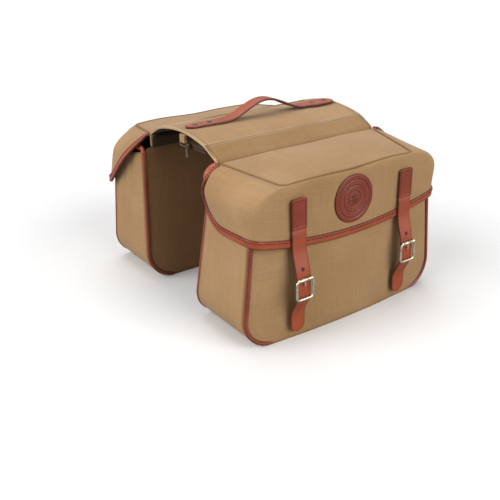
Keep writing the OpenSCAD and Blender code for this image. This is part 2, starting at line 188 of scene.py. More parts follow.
def noise_node(tree, vector, scale, detail=4.0, rough=0.55):
    node = tree.nodes.new("ShaderNodeTexNoise")
    node.inputs["Scale"].default_value = scale
    node.inputs["Detail"].default_value = detail
    node.inputs["Roughness"].default_value = rough
    if vector is not None:
        wire(tree, vector, node.inputs["Vector"])
    return node.outputs["Fac"]


def stretch_node(tree, vector, scale):
    node = tree.nodes.new("ShaderNodeVectorMath")
    node.operation = "MULTIPLY"
    wire(tree, vector, node.inputs[0])
    node.inputs[1].default_value = scale
    return node.outputs[0]


def range_node(tree, value, from_low, from_high, to_low=0.0, to_high=1.0):
    node = tree.nodes.new("ShaderNodeMapRange")
    wire(tree, value, node.inputs["Value"])
    node.inputs["From Min"].default_value = from_low
    node.inputs["From Max"].default_value = from_high
    node.inputs["To Min"].default_value = to_low
    node.inputs["To Max"].default_value = to_high
    return node.outputs["Result"]


def build_weave():
    """Over-and-under threads along the cloth's own length and width, with thick and thin yarns."""
    tree, given, made = new_group(
        "plain_weave",
        [("Thread", "NodeSocketFloat", 0.0011)],
        [("Height", "NodeSocketFloat", None), ("Yarn", "NodeSocketFloat", None)],
    )
    cloth = tree.nodes.new("ShaderNodeUVMap")
    parts = tree.nodes.new("ShaderNodeSeparateXYZ")
    wire(tree, cloth.outputs["UV"], parts.inputs[0])
    waves = []
    for axis in ("X", "Y"):
        count = math_node(tree, "DIVIDE", parts.outputs[axis], given.outputs["Thread"])
        waves.append(math_node(tree, "SINE", math_node(tree, "MULTIPLY", count, math.pi)))
    crossing = math_node(tree, "MULTIPLY", waves[0], waves[1])
    weave = math_node(tree, "ADD", math_node(tree, "MULTIPLY", crossing, 0.5), 0.5)
    yarns = []
    for stretch in ((520.0, 16.0, 1.0), (16.0, 520.0, 1.0)):
        streaks = stretch_node(tree, cloth.outputs["UV"], stretch)
        yarns.append(noise_node(tree, streaks, 1.0, detail=3.0, rough=0.6))
    yarn = math_node(tree, "MULTIPLY", math_node(tree, "ADD", yarns[0], yarns[1]), 0.5)
    height = math_node(tree, "ADD", math_node(tree, "MULTIPLY", weave, 0.5), yarn)
    wire(tree, height, made.inputs["Height"])
    wire(tree, range_node(tree, yarn, 0.40, 0.60), made.inputs["Yarn"])
    return tree


def build_mottle():
    """Broad uneven tone, as in waxed or dyed cloth and hide."""
    tree, given, made = new_group(
        "broad_mottle",
        [("Size", "NodeSocketFloat", 14.0)],
        [("Tone", "NodeSocketFloat", None)],
    )
    place = tree.nodes.new("ShaderNodeTexCoord")
    wide = tree.nodes.new("ShaderNodeTexNoise")
    wide.inputs["Detail"].default_value = 5.0
    wire(tree, place.outputs["Object"], wide.inputs["Vector"])
    wire(tree, given.outputs["Size"], wide.inputs["Scale"])
    wire(tree, range_node(tree, wide.outputs["Fac"], 0.32, 0.68), made.inputs["Tone"])
    return tree


def build_grain():
    """Pebbled leather grain with fine pores."""
    tree, given, made = new_group(
        "leather_grain",
        [("Grain", "NodeSocketFloat", 520.0)],
        [("Height", "NodeSocketFloat", None)],
    )
    place = tree.nodes.new("ShaderNodeTexCoord")
    pebble = tree.nodes.new("ShaderNodeTexVoronoi")
    pebble.feature = "SMOOTH_F1"
    wire(tree, place.outputs["Object"], pebble.inputs["Vector"])
    wire(tree, given.outputs["Grain"], pebble.inputs["Scale"])
    pores = noise_node(tree, place.outputs["Object"], 1500.0, detail=3.0)
    fine = math_node(tree, "MULTIPLY", pores, 0.5)
    wire(tree, math_node(tree, "ADD", pebble.outputs["Distance"], fine), made.inputs["Height"])
    return tree


def build_rim_wear_and_shade():
    """Mask of a piece's cut or folded rims, broken up by noise: real wear and burnished edges, and painted
    shade where the rim value marks a shaded place, such as a strap's back face, the piping's flanks and the
    lid's seam cord. The rim value is stored on the mesh.
    """
    tree, given, made = new_group(
        "rim_wear_and_shade",
        [("Strength", "NodeSocketFloat", 1.0)],
        [("Mask", "NodeSocketFloat", None)],
    )
    rim = tree.nodes.new("ShaderNodeAttribute")
    rim.attribute_name = "rim"
    place = tree.nodes.new("ShaderNodeTexCoord")
    rough = range_node(tree, noise_node(tree, place.outputs["Object"], 160.0), 0.3, 0.7, 0.65, 1.0)
    mask = math_node(tree, "MULTIPLY", rim.outputs["Fac"], rough)
    scaled = math_node(tree, "MULTIPLY", mask, given.outputs["Strength"], clamp=True)
    wire(tree, scaled, made.inputs["Mask"])
    return tree


WEAVE = build_weave()
MOTTLE = build_mottle()
GRAIN = build_grain()
RIM_WEAR_AND_SHADE = build_rim_wear_and_shade()


def use_group(tree, group, **values):
    node = tree.nodes.new("ShaderNodeGroup")
    node.node_tree = group
    for label, value in values.items():
        node.inputs[label].default_value = value
    return node.outputs


def blend_colour(tree, factor, first, second):
    node = tree.nodes.new("ShaderNodeMix")
    node.data_type = "RGBA"
    if isinstance(factor, (int, float)):
        node.inputs["Factor"].default_value = factor
    else:
        wire(tree, factor, node.inputs["Factor"])
    for label, value in (("A", first), ("B", second)):
        socket = [s for s in node.inputs if s.name == label and s.type == "RGBA"][0]
        if isinstance(value, tuple):
            socket.default_value = (*value, 1.0)
        else:
            wire(tree, value, socket)
    return [s for s in node.outputs if s.type == "RGBA"][0]


def add_bump(tree, height, strength, distance):
    bump = tree.nodes.new("ShaderNodeBump")
    bump.inputs["Strength"].default_value = strength
    bump.inputs["Distance"].default_value = distance
    wire(tree, height, bump.inputs["Height"])
    wire(tree, bump.outputs["Normal"], tree.nodes["Principled BSDF"].inputs["Normal"])


def start_material(name, roughness, specular=0.5):
    material = bpy.data.materials.new(name)
    material.use_nodes = True
    shader = material.node_tree.nodes["Principled BSDF"]
    shader.inputs["Roughness"].default_value = roughness
    shader.inputs["Specular IOR Level"].default_value = specular
    return material, material.node_tree, shader


# ---------------------------------------------------------------- materials

def make_cloth(name, deep, light, seam_tone, thread=0.0011, bump=0.35):
    """Woven cotton: broad mottle, yarn-by-yarn tone, and darker seams: wear along panel rims, and painted
    shade on pieces marked as all rim, such as the lid's seam cord.
    """
    material, tree, shader = start_material(name, 0.92, 0.12)
    weave = use_group(tree, WEAVE, Thread=thread)
    mottle = use_group(tree, MOTTLE, Size=9.0)
    base = blend_colour(tree, mottle["Tone"], deep, light)
    yarn = range_node(tree, weave["Yarn"], 0.0, 1.0, 0.0, 0.24)
    yarned = blend_colour(tree, yarn, base, seam_tone)
    worn_and_shaded = blend_colour(tree, use_group(tree, RIM_WEAR_AND_SHADE, Strength=0.75)["Mask"], yarned, seam_tone)
    wire(tree, worn_and_shaded, shader.inputs["Base Color"])
    shader.inputs["Sheen Weight"].default_value = 0.15
    shader.inputs["Sheen Roughness"].default_value = 0.5
    add_bump(tree, weave["Height"], bump, 0.0006)
    return material


def make_leather(name, deep, light, edge, roughness=0.40):
    """Smooth bridle leather: fine grain, uneven dye, dark burnished edges, and the same dark tone as
    painted shade on a strap's back face and the piping's flanks.
    """
    material, tree, shader = start_material(name, roughness, 0.5)
    mottle = use_group(tree, MOTTLE, Size=26.0)
    base = blend_colour(tree, mottle["Tone"], deep, light)
    edged_and_shaded = blend_colour(tree, use_group(tree, RIM_WEAR_AND_SHADE, Strength=1.0)["Mask"], base, edge)
    wire(tree, edged_and_shaded, shader.inputs["Base Color"])
    wire(tree, range_node(tree, mottle["Tone"], 0.0, 1.0, roughness + 0.08, roughness - 0.06),
         shader.inputs["Roughness"])
    add_bump(tree, use_group(tree, GRAIN, Grain=620.0)["Height"], 0.18, 0.0004)
    return material


def make_metal(name, deep, light, roughness=0.2):
    """Plated metal with faint handling marks."""
    material, tree, shader = start_material(name, roughness)
    shader.inputs["Metallic"].default_value = 1.0
    place = tree.nodes.new("ShaderNodeTexCoord")
    marks = range_node(tree, noise_node(tree, place.outputs["Object"], 240.0, detail=6.0), 0.35, 0.65)
    wire(tree, blend_colour(tree, marks, light, deep), shader.inputs["Base Color"])
    wire(tree, range_node(tree, marks, 0.0, 1.0, roughness - 0.06, roughness + 0.12),
         shader.inputs["Roughness"])
    add_bump(tree, noise_node(tree, place.outputs["Object"], 420.0, detail=3.0), 0.06, 0.0003)
    return material


CANVAS = make_cloth("khaki_canvas", (0.378, 0.220, 0.096), (0.452, 0.274, 0.134), (0.17, 0.088, 0.032))
# Darker copy of the canvas for the bridge's skirts: painted shade on cloth turned away from the light.
SHADED_SKIRT_CANVAS = make_cloth("shaded_skirt_canvas", (0.318, 0.181, 0.076), (0.378, 0.224, 0.105),
                          (0.15, 0.078, 0.028))
BACK_CANVAS = make_cloth("shaded_back_canvas", (0.300, 0.160, 0.070), (0.375, 0.210, 0.095),
                         (0.12, 0.060, 0.024))
LINING = make_cloth("dark_lining", (0.050, 0.028, 0.016), (0.085, 0.050, 0.030), (0.03, 0.02, 0.012))
EDGE_TAPE = make_cloth("cream_tape", (0.46, 0.31, 0.16), (0.55, 0.39, 0.22), (0.30, 0.19, 0.09),
                       thread=0.0008)
WEBBING = make_cloth("rack_webbing", (0.020, 0.016, 0.013), (0.040, 0.032, 0.026), (0.01, 0.01, 0.01),
                     thread=0.0016, bump=0.5)
BOARD = make_cloth("lined_board", (0.045, 0.028, 0.018), (0.075, 0.048, 0.032), (0.02, 0.015, 0.01),
                   thread=0.0014)
LEATHER = make_leather("tan_leather", (0.280, 0.044, 0.011), (0.390, 0.074, 0.021), (0.060, 0.006, 0.002))
# The badge's own darker leather, also used on the strap tabs, where it paints the shade the tabs lie in.
BADGE_AND_TAB_SHADE = make_leather("badge_leather_and_tab_shade", (0.200, 0.026, 0.007), (0.270, 0.040, 0.011),
                     (0.030, 0.003, 0.001), roughness=0.36)
PIPING = make_leather("piping_leather", (0.210, 0.036, 0.013), (0.285, 0.058, 0.022),
                      (0.05, 0.007, 0.003), roughness=0.46)
# Near-black leather for the spare holes: their cut edge, and painted shade filling the hole.
HOLE_EDGE_AND_SHADE = make_leather("hole_edge_and_shade", (0.05, 0.006, 0.002), (0.08, 0.010, 0.004),
                         (0.02, 0.002, 0.001), roughness=0.6)
NICKEL = make_metal("nickel_plate", (0.50, 0.45, 0.34), (0.80, 0.75, 0.62), roughness=0.24)
RIVET = make_metal("old_nickel", (0.12, 0.07, 0.05), (0.32, 0.24, 0.18), roughness=0.35)
PALE_THREAD = make_cloth("pale_thread", (0.66, 0.52, 0.35), (0.76, 0.63, 0.45), (0.45, 0.33, 0.2),
                         thread=0.0005, bump=0.2)
TAN_THREAD = make_cloth("tan_thread", (0.50, 0.22, 0.10), (0.60, 0.30, 0.15), (0.3, 0.12, 0.05),
                        thread=0.0005, bump=0.2)
RED_THREAD = make_cloth("red_thread", (0.14, 0.020, 0.008), (0.20, 0.032, 0.014), (0.05, 0.01, 0.005),
                        thread=0.0005, bump=0.2)
DARK_THREAD = make_cloth("dark_thread", (0.07, 0.010, 0.004), (0.11, 0.018, 0.008), (0.03, 0.005, 0.003),
                         thread=0.0005, bump=0.2)


# ---------------------------------------------------------------- mesh helpers

def lerp(a, b, t):
    return a + (b - a) * t


def smooth_step(u):
    v = min(1.0, max(0.0, u))
    return v * v * (3 - 2 * v)


def turned(point, side):
    """A point of the right bag, or the matching point of the bag on the other side."""
    return Vector((-point[0], -point[1], point[2])) if side == "left" else Vector(point)


def on_side(points, side):
    return [turned(p, side) for p in points]


def facing_front(points, side):
    """The direction out of a bag's front, once for each point."""
    return [turned((0, -1, 0), side)] * len(points)


def ring_faces(bands, count, start=0):
    """Faces of the bands between neighbouring rings, with count points in each ring."""
    faces = []
    for i in range(bands):
        for k in range(count):
            a = start + i * count + k
            b = start + i * count + (k + 1) % count
            faces.append([a, b, b + count, a + count])
    return faces


def finish_mesh(name, points, faces, materials, uvs=None, rims=None, face_slots=None):
    """Smooth-shaded mesh object. uvs and rims are one per point."""
    mesh = bpy.data.meshes.new(name)
    mesh.from_pydata([tuple(p) for p in points], [], faces)
    for material in materials:
        mesh.materials.append(material)
    mesh.polygons.foreach_set("use_smooth", [True] * len(mesh.polygons))
    if face_slots:
        mesh.polygons.foreach_set("material_index", face_slots)
    layer = mesh.uv_layers.new(name="UVMap")
    if uvs:
        for loop in mesh.loops:
            layer.data[loop.index].uv = uvs[loop.vertex_index]
    rim = mesh.attributes.new("rim", "FLOAT", "POINT")
    rim.data.foreach_set("value", rims or [0.0] * len(points))
    mesh.update()
    obj = bpy.data.objects.new(name, mesh)
    bpy.context.scene.collection.objects.link(obj)
    return obj


def grid_normals(rows):
    """Unit normals of a grid of points."""
    last_i, last_j = len(rows) - 1, len(rows[0]) - 1
    result = []
    for i, row in enumerate(rows):
        line = []
        for j in range(len(row)):
            along = rows[min(i + 1, last_i)][j] - rows[max(i - 1, 0)][j]
            across = row[min(j + 1, last_j)] - row[max(j - 1, 0)]
            normal = along.cross(across)
            line.append(normal.normalized() if normal.length > 1e-12 else Vector((0, 0, 0)))
        result.append(line)
    return result


def panel(name, rows, thickness, inside, materials, rim_width):
    """Thick sheet over a grid of points. inside is a point on the side that the thickness grows to,
    and the second material covers that side. Rims within rim_width of an edge are marked."""
    normals = grid_normals(rows)
    count_i, count_j = len(rows), len(rows[0])
    outward = sum(
        n.dot(p - Vector(inside)) for row, line in zip(rows, normals) for p, n in zip(row, line)
    )
    sign = 1.0 if outward > 0 else -1.0
    along = [0.0]
    for i in range(1, count_i):
        along.append(along[-1] + (rows[i][count_j // 2] - rows[i - 1][count_j // 2]).length)
    across = [0.0]
    for j in range(1, count_j):
        across.append(across[-1] + (rows[count_i // 2][j] - rows[count_i // 2][j - 1]).length)
    points, uvs, rims = [], [], []
    for layer in (0, 1):
        for i in range(count_i):
            for j in range(count_j):
                points.append(rows[i][j] - normals[i][j] * (sign * thickness * layer))
                uvs.append((along[i], across[j]))
                edge = min(along[i], along[-1] - along[i], across[j], across[-1] - across[j])
                rims.append(max(0.0, 1.0 - edge / rim_width))
    faces, slots = [], []
    size = count_i * count_j
    for layer in (0, 1):
        for i in range(count_i - 1):
            for j in range(count_j - 1):
                a = layer * size + i * count_j + j
                quad = [a, a + count_j, a + count_j + 1, a + 1]
                if (sign > 0) == (layer == 1):
                    quad.reverse()
                faces.append(quad)
                slots.append(layer)
    border = (
        [i * count_j for i in range(count_i)]
        + [(count_i - 1) * count_j + j for j in range(1, count_j)]
        + [i * count_j + count_j - 1 for i in range(count_i - 2, -1, -1)]
        + [j for j in range(count_j - 2, 0, -1)]
    )
    for k, a in enumerate(border):
        b = border[(k + 1) % len(border)]
        quad = [a, a + size, b + size, b]
        if sign < 0:
            quad.reverse()
        faces.append(quad)
        slots.append(0)
    return finish_mesh(name, points, faces, materials, uvs, rims, slots)


def resample(path, step):
    """Even steps along a polyline, its ends kept: the segment each falls in and how far along it."""
    lengths = [0.0]
    for a, b in zip(path, path[1:]):
        lengths.append(lengths[-1] + (b - a).length)
    count = max(2, round(lengths[-1] / step) + 1)
    result, k = [], 0
    for i in range(count):
        target = lengths[-1] * i / (count - 1)
        while k < len(path) - 2 and lengths[k + 1] < target:
            k += 1
        span = lengths[k + 1] - lengths[k]
        t = (target - lengths[k]) / span if span > 0 else 0.0
        result.append((k, t))
    return result


def pick(values, spots):
    return [lerp(values[k], values[k + 1], t) for k, t in spots]


def even(path, step):
    """The same polyline with its points at even steps."""
    return pick(path, resample(path, step))


def sweep(name, path, outward, section, materials, rims=None, width=None):
    """Section swept along a path. A section point is (out, side), and width scales its side part."""
    count = len(section)
    points, uvs, rim_values = [], [], []
    around = [0.0]
    for a, b in zip(section, section[1:]):
        around.append(around[-1] + math.dist(a, b))
    travelled = 0.0
    last = len(path) - 1
    for i, p in enumerate(path):
        tangent = path[min(i + 1, last)] - path[max(i - 1, 0)]
        side = tangent.cross(outward[i]).normalized()
        out = side.cross(tangent).normalized()
        travelled += (p - path[i - 1]).length if i else 0.0
        scale = width[i] if width else 1.0
        for k, (o, s) in enumerate(section):
            points.append(p + out * o + side * (s * scale))
            uvs.append((travelled, around[k]))
            rim_values.append(rims[k] if rims else 0.0)
    faces = ring_faces(last, count)
    faces.append(list(range(count - 1, -1, -1)))
    faces.append([last * count + k for k in range(count)])
    return finish_mesh(name, points, faces, materials, uvs, rim_values)


def strap_section(width, thick, soft=0.7 * MM):
    """Rounded flat section with its rims marked, as (points, rims). The back face is marked nearly as dark,
    as painted shade on the side that lies against the bag.
    """
    points, rims = [], []
    w, t = width / 2, thick / 2
    face = [-1.0, -0.8, -0.4, 0.0, 0.4, 0.8, 1.0]
    for f in face:
        points.append((t, f * (w - soft)))
        rims.append(0.55 if abs(f) == 1.0 else 0.0)
    points.append((t - soft * 0.5, w - soft * 0.15))
    points.append((0.0, w))
    points.append((-t + soft * 0.5, w - soft * 0.15))
    rims.extend([1.0, 1.0, 1.0])
    # The back face is marked dark: painted shade on the side that lies against the bag.
    for f in reversed(face):
        points.append((-t, f * (w - soft)))
        rims.append(0.9)
    points.append((-t + soft * 0.5, -w + soft * 0.15))
    points.append((0.0, -w))
    points.append((t - soft * 0.5, -w + soft * 0.15))
    rims.extend([1.0, 1.0, 1.0])
    return points, rims


def round_section(radius, sides, flat=1.0):
    return [
        (radius * flat * math.cos(TAU * k / sides), radius * math.sin(TAU * k / sides))
        for k in range(sides)
    ]


def end_width(distance, radius):
    """Share of the full width at a distance from a rounded end."""
    if distance >= radius:
        return 1.0
    return max(0.04, math.sqrt(max(0.0, 1 - (1 - distance / radius) ** 2)))


def stitch_row(name, path, outward, material, pitch, length, thick):
    """Row of single stitches that bed into the surface along a path."""
    spots = resample(path, pitch)
    centres, outs = pick(path, spots), pick(outward, spots)
    points, faces = [], []
    shape = [(-0.5, 0.25), (-0.32, 0.85), (0.0, 1.0), (0.32, 0.85), (0.5, 0.25)]
    sides = 6
    last = len(centres) - 1
    for i, centre in enumerate(centres):
        tangent = (centres[min(i + 1, last)] - centres[max(i - 1, 0)]).normalized()
        side = tangent.cross(outs[i]).normalized()
        out = side.cross(tangent).normalized()
        start = len(points)
        for reach, fat in shape:
            rise = thick * (0.35 - 1.2 * abs(reach))
            for k in range(sides):
                angle = TAU * k / sides
                points.append(
                    centre + tangent * (reach * length) + out * (rise + thick * fat * math.cos(angle))
                    + side * (thick * fat * math.sin(angle))
                )
        faces.extend(ring_faces(len(shape) - 1, sides, start))
        faces.append([start + k for k in range(sides - 1, -1, -1)])
        faces.append([start + (len(shape) - 1) * sides + k for k in range(sides)])
    return finish_mesh(name, points, faces, [material])


def attach(obj, body, nodes=()):
    """The piece rides on a body and stands for CAD nodes, which it hides."""
    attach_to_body(obj, body)
    if nodes:
        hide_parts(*nodes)


def cross_joint(obj, nodes=()):
    """The piece spans two bodies, so its place is baked into its mesh and it rides on neither; it stands
    for CAD nodes, which it hides.
    """
    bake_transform(obj)
    if nodes:
        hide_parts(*nodes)


def ripple(point, amount, size, seed):
    """Soft unevenness of hand-sewn cloth."""
    return amount * noise.noise(Vector(point) / size + Vector((seed, 0.37 * seed, 0.0)))


# ---------------------------------------------------------------- bag body shapes, for the right bag

def half_length(z):
    if z < CORNER_R:
        return HALF_L - CORNER_R + math.sqrt(max(0.0, CORNER_R ** 2 - (CORNER_R - z) ** 2))
    return HALF_MOUTH + (HALF_L - HALF_MOUTH) * (MOUTH_Z - z) / (MOUTH_Z - CORNER_R)


def front_face(x):
    return FRONT_Y + FRONT_RADIUS - math.sqrt(FRONT_RADIUS ** 2 - x * x)


def back_face(z):
    return lerp(BACK_LOW_Y, BACK_TOP_Y, z / MOUTH_Z)


def heights(top, steps):
    """Heights from the base up, close together round the bottom corners."""
    corner = [CORNER_R * (1 - math.cos(math.pi / 2 * k / 10)) for k in range(10)]
    return corner + [lerp(CORNER_R, top, k / steps) for k in range(steps + 1)]


def outline_ring(inset, top, step=6 * MM):
    """Points (x, z) of a bag's outline from one top end down, along the base and up again."""
    corner = CORNER_R - inset
    ring = [Vector((-half_length(top) + inset, top))]
    for sign, first, last in ((-1, 180, 270), (1, 270, 360)):
        for k in range(13):
            angle = math.radians(lerp(first, last, k / 12))
            centre = sign * (HALF_L - CORNER_R)
            ring.append(Vector((centre + corner * math.cos(angle), CORNER_R + corner * math.sin(angle))))
    ring.append(Vector((half_length(top) - inset, top)))
    return even(ring, step)


def front_rows():
    rows = []
    for z in heights(FRONT_TOP, 22):
        row = []
        for k in range(49):
            u = -1 + 2 * k / 48
            x = u * (half_length(z) - 1.0 * MM)
            belly = 4.0 * MM * math.sin(math.pi * min(1.0, z / (160 * MM))) * (1 - u ** 4)
            point = Vector((x, front_face(x), z))
            belly -= ripple(point, 1.6 * MM, 70 * MM, seed=3.0) * (1 - u ** 4)
            # The press studs hold the cloth down round them.
            away = math.hypot(abs(x) - STRAP_X, z - SNAP_Z)
            point.y -= belly * (1 - math.exp(-(away / (22 * MM)) ** 4))
            row.append(point)
        rows.append(row)
    return rows


def back_half(z):
    """Half the back panel's width: its middle rises between the flap's ends to the lid's seam."""
    narrow = smooth_step((z - BACK_SHOULDER_Z + 4 * MM) / (6 * MM))
    return lerp(half_length(min(z, BACK_SHOULDER_Z)) - 1.0 * MM, LID_BACK_X - 4 * MM, narrow)


def back_rows():
    rows = []
    for z in heights(BACK_TOP_Z - 3 * MM, 30):
        row = []
        for k in range(41):
            u = -1 + 2 * k / 40
            x = u * back_half(z)
            belly = 6.0 * MM * math.sin(math.pi * min(1.0, z / (210 * MM))) * (1 - u * u)
            point = Vector((x, back_face(z) + belly, z))
            point.y += ripple(point, 2.0 * MM, 80 * MM, seed=9.0) * (1 - u ** 4)
            row.append(point)
        rows.append(row)
    return rows


def gusset_rows():
    """Side and bottom wall. Its sides swell a little between the two piped seams."""
    rows = []
    for step in range(17):
        t = step / 16
        top = lerp(SIDE_TOP, FRONT_TOP, t)
        row = []
        ring = outline_ring(0.6 * MM, top)
        for k in range(111):
            place = k / 110 * (len(ring) - 1)
            i = min(int(place), len(ring) - 2)
            x, z = lerp(ring[i], ring[i + 1], place - i)
            y = lerp(back_face(z) - 1.5 * MM, front_face(x) + 1.5 * MM, t)
            side = smooth_step(z / (60 * MM))
            swell = math.sin(math.pi * t) * side
            fold = math.sin(math.pi * t) ** 2 * smooth_step((z - 70 * MM) / (120 * MM))
            out = 3.0 * MM * swell - 5.0 * MM * fold * math.exp(-((t - 0.52) / 0.2) ** 2)
            point = Vector((x, y, max(z, 0.2 * MM)))
            out += ripple(point, 1.4 * MM, 55 * MM, seed=5.0) * swell
            point.x += math.copysign(out, x) * side
            if z > UNDER_FLAP_Z:
                point.x = math.copysign(min(abs(point.x), FLAP_X - 5.5 * MM), x)
            row.append(point)
        rows.append(row)
    return rows


def make_bag_body(side):
    for label, node, rows, cloth in (
        ("front_cloth", "front_panel", front_rows(), CANVAS),
        ("back_cloth", "back_panel", back_rows(), BACK_CANVAS),
        ("gusset_cloth", "gusset", gusset_rows(), CANVAS),
    ):
        piece = panel(f"{side}_{label}", [on_side(row, side) for row in rows], CANVAS_T,
                      turned(BAG_INSIDE, side), [cloth, LINING], 6 * MM)
        attach(piece, f"{side}_bag", [f"{side}_{node}"])
    make_pipings(side)
    make_corner_caps(side)


def make_pipings(side):
    """Leather-covered cord round a bag's front seam and back seam, with a dark line painted on each flank
    as the shade of a groove.
    """
    sides = 14
    # Painted shade: two points round the cord are marked dark, standing for a groove on each flank.
    painted_groove_shade = [1.0 if k in (2, 12) else 0.0 for k in range(sides)]
    cord = round_section(3.5 * MM, sides)
    for label, top, face, out_y in (
        ("front", FRONT_TOP - 2 * MM, lambda x, z: front_face(x) + 0.4 * MM, -1),
        ("back", BACK_SHOULDER_Z - 2 * MM, lambda x, z: back_face(z) - 0.4 * MM, 1),
    ):
        ring = outline_ring(3.0 * MM, top, 5 * MM)
        path = [Vector((x, face(x, z), max(z, 3.3 * MM))) for x, z in ring]
        # Along the base the cord is rolled under the bag's edge.
        for p in path:
            along_base = smooth_step((HALF_L - 30 * MM - abs(p.x)) / (26 * MM))
            if p.z < CORNER_R / 2:
                p.y -= out_y * 4.2 * MM * along_base
        outward = [turned((0, out_y, 0), side)] * len(path)
        tube = sweep(f"{side}_{label}_piping_leather", on_side(path, side), outward, cord, [PIPING], painted_groove_shade)
        attach(tube, f"{side}_bag", [f"{side}_{label}_piping"])


def make_corner_caps(side):
    """Leather caps bent over the two back corners of a bag's mouth."""
    corner_x = half_length(BACK_SHOULDER_Z) - 2.6 * MM
    for end, label in ((-1, "rear"), (1, "fore")):
        line = []
        for back, up in CAP_BEND:
            x = corner_x - 0.08 * up * MM
            line.append(Vector((end * x, BACK_TOP_Y + back * MM, BACK_SHOULDER_Z + up * MM)))
        line = even(line, 2 * MM)
        outward = [turned((end, 0, 0), side)] * len(line)
        cap = sweep(f"{side}_corner_cap_{label}", on_side(line, side), outward,
                    round_section(4.6 * MM, 14, 0.75), [LEATHER])
        attach(cap, f"{side}_bag", [f"{side}_corner_patches"])


# ---------------------------------------------------------------- flap shapes, for the right bag

def binding_height(x):
    return BINDING_LOW + BINDING_RISE * (x / FLAP_X) ** 2


def hang_slack(x, y, z):
    """Place and height of a flap's edge where its end hangs slack: its lower edge falls straight from
    the lid to the front corner and swings out a little."""
    fall = min(1.0, max(0.0, (FLAP_BACK - y) / (FLAP_BACK - FLAP_FRONT - FLAP_CORNER)))
    straight = lerp(LID_BACK_Z - 7 * MM, binding_height(FLAP_X) - 16 * MM, fall)
    near_end = smooth_step((x - 120 * MM) / (FLAP_X - 132 * MM))
    return x + 7 * MM * smooth_step(fall * 1.6) * near_end, lerp(z, straight, near_end)


def flap_half(slack):
    """Places round one half of the flap, from its back end to the middle of its front: the wall's place
    seen from above, the height of the binding's middle line, the lid seam's place and the shoulder's
    height."""
    wall = FLAP_X - 1.5 * MM
    radius = FLAP_CORNER - 1.5 * MM
    corner_y = FLAP_FRONT + FLAP_CORNER
    centre_x = FLAP_X - FLAP_CORNER
    curve_y = FLAP_BACK - SIDE_CURVE_Y
    spots = []
    for k in range(13):
        a = math.radians(7.5 * k)
        y = FLAP_BACK - SIDE_CURVE_Y * (1 - math.cos(a))
        spots.append((wall, y, SIDE_LOW_Z + SIDE_CURVE_Z * (1 - math.sin(a)), None))
    for k in range(1, 8):
        t = k / 8
        z = lerp(SIDE_LOW_Z, binding_height(FLAP_X), t * t)
        spots.append((wall, lerp(curve_y, corner_y, t), z, None))
    for k in range(10):
        a = math.radians(10 * k)
        x = centre_x + radius * math.cos(a)
        spots.append((x, corner_y - radius * math.sin(a), binding_height(x), k / 9))
    for k in range(1, 21):
        x = centre_x * (1 - k / 20)
        spots.append((x, FLAP_FRONT + 1.5 * MM, binding_height(x), 1.0))
    half = []
    for x, y, z, turn in spots:
        if slack:
            x, z = hang_slack(x, y, z)
        shoulder = SHOULDER_SIDE_Z
        if turn is None:
            seam = (1.0, 0.93 * (FLAP_BACK - y) / (FLAP_BACK - corner_y))
        elif turn < 1.0:
            seam = (lerp(1.0, 0.94, smooth_step(turn)), lerp(0.93, 1.0, math.sin(math.pi / 2 * turn)))
        else:
            seam = (0.94 * x / centre_x, 1.0)
            to_corner = smooth_step((x - 90 * MM) / (centre_x - 90 * MM))
            shoulder = lerp(SHOULDER_FRONT_Z, SHOULDER_SIDE_Z, to_corner)
        half.append((Vector((x, y, z)), seam, shoulder))
    return half


def flap_stations(side):
    """All the places round the flap. The left bag's rear end hangs slack."""
    other = [(Vector((-p.x, p.y, p.z)), (-seam[0], seam[1]), shoulder)
             for p, seam, shoulder in flap_half(False)[:-1]]
    return other + flap_half(side == "left")[::-1]


def lid_point(u, v):
    """Top of the flap: u runs along it from -1 to 1, v from the back seam to the front one."""
    half = lerp(LID_BACK_X, LID_FRONT_X, v)
    crown = 4.5 * MM * (1 - u ** 4) * math.sin(math.pi * (0.12 + 0.8 * v))
    level = lerp(LID_BACK_Z, LID_FRONT_Z, v) - 1.2 * MM
    point = Vector((u * half, lerp(LID_BACK_Y, LID_FRONT_Y, v), level + crown))
    point.z += ripple(point, 1.8 * MM, 75 * MM, seed=1.0) * (1 - abs(u) ** 6)
    return point


def flap_profile(edge, seam, shoulder):
    """Points of the flap's skin from the lid's seam over the shoulder and down to its lower edge."""
    top = lid_point(*seam)
    reach = Vector((edge.x - top.x, edge.y - top.y, 0))
    line = []
    for k in range(19):
        a = math.radians(5 * k)
        share = math.sin(a) ** 0.9
        z = shoulder + (top.z - shoulder) * math.cos(a) ** 0.9
        line.append(Vector((top.x, top.y, z)) + reach * share)
    line.append(Vector((edge.x, edge.y, min(edge.z, shoulder) - 20 * MM)))
    kept = [p for p in line if p.z > edge.z + 0.2 * MM]
    below = line[len(kept)]
    last = kept[-1]
    kept.append(last.lerp(below, (last.z - edge.z) / (last.z - below.z)))
    return pick(kept, spread(kept, 25))


def spread(path, count):
    """Even spots along a polyline, as many as asked for."""
    length = sum((b - a).length for a, b in zip(path, path[1:]))
    spots = resample(path, length / (count - 1))
    assert len(spots) == count
    return spots


